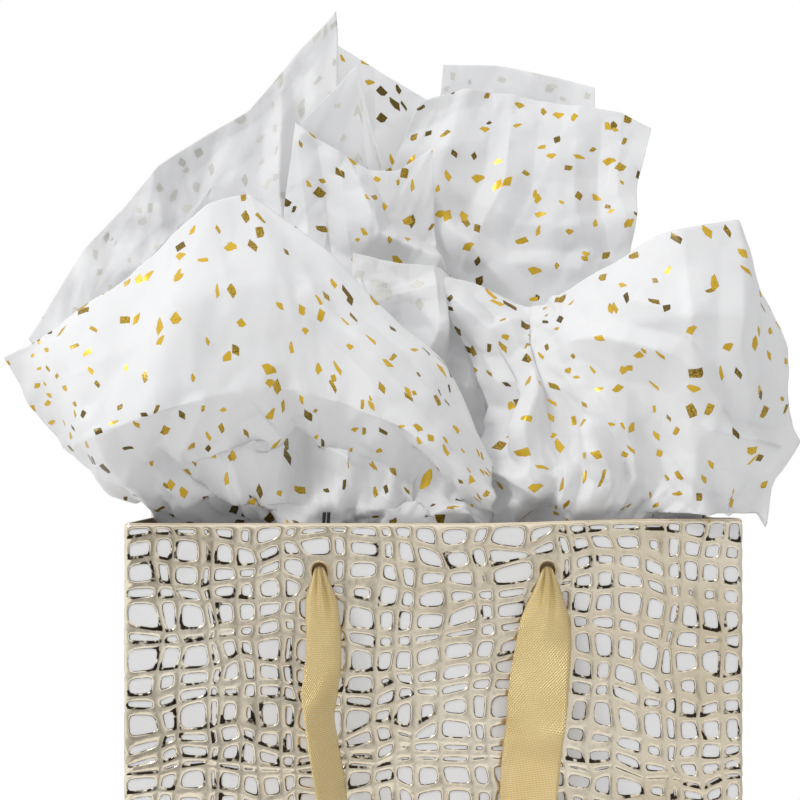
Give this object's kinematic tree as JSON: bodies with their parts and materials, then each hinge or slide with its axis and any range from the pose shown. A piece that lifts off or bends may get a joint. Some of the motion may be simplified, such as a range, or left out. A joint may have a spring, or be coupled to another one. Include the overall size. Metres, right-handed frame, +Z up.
{
  "type": "gift bag",
  "caption": "Foil-patterned paper gift bag with gusseted sides, a base board, two gold ribbon handles and gold-flecked tissue paper standing out of its mouth.",
  "frame": {"origin": "middle of the bag's base, on the surface that it stands on", "axes": "+X to the right, +Y to the back, +Z up out of the mouth; the front panel faces -Y"},
  "size_m": [0.259, 0.1444, 0.432],
  "materials": {
    "foil_paper": "gloss",
    "kraft_lining": "matte",
    "grey_card": "matte",
    "gold_ribbon": "satin",
    "black_cord": "matte",
    "tissue_paper": "matte"
  },
  "bodies": {
    "bag": {"front_panel": "foil_paper", "front_hem": "kraft_lining", "front_reinforcement_card": "grey_card", "back_panel": "foil_paper", "back_hem": "kraft_lining", "back_reinforcement_card": "grey_card", "left_gusset_front": "foil_paper", "left_gusset_front_hem": "kraft_lining", "left_gusset_rear": "foil_paper", "left_gusset_rear_hem": "kraft_lining", "right_gusset_front": "foil_paper", "right_gusset_front_hem": "kraft_lining", "right_gusset_rear": "foil_paper", "right_gusset_rear_hem": "kraft_lining", "side_seam_tab": "kraft_lining", "base_flap_front": "foil_paper", "base_flap_back": "foil_paper", "base_flap_left": "foil_paper", "base_flap_right": "foil_paper", "base_board": "grey_card", "front_left_ribbon_knot": "gold_ribbon", "front_right_ribbon_knot": "gold_ribbon", "back_left_ribbon_knot": "gold_ribbon", "back_right_ribbon_knot": "gold_ribbon", "tag_cord_ends": "black_cord"},
    "front_handle": {"front_handle_ribbon": "gold_ribbon"},
    "back_handle": {"back_handle_ribbon": "gold_ribbon"},
    "tissue_sheet_left": {"tissue_left": "tissue_paper"},
    "tissue_sheet_right": {"tissue_right": "tissue_paper"},
    "tissue_sheet_back": {"tissue_back": "tissue_paper"}
  },
  "joints": [
    {"name": "front_handle_swing", "type": "hinge", "parent": "bag", "child": "front_handle", "pos_m": [0, -0.0535, 0.239], "axis": [-1, 0, 0], "range_deg": [0, 160]},
    {"name": "back_handle_swing", "type": "hinge", "parent": "bag", "child": "back_handle", "pos_m": [0, 0.0535, 0.239], "axis": [1, 0, 0], "range_deg": [0, 160]},
    {"name": "tissue_left_lift", "type": "slide", "parent": "bag", "child": "tissue_sheet_left", "axis": [0, 0, 1], "range_m": [0, 0.3]},
    {"name": "tissue_right_lift", "type": "slide", "parent": "bag", "child": "tissue_sheet_right", "axis": [0, 0, 1], "range_m": [0, 0.3]},
    {"name": "tissue_back_lift", "type": "slide", "parent": "bag", "child": "tissue_sheet_back", "axis": [0, 0, 1], "range_m": [0, 0.3]}
  ]
}
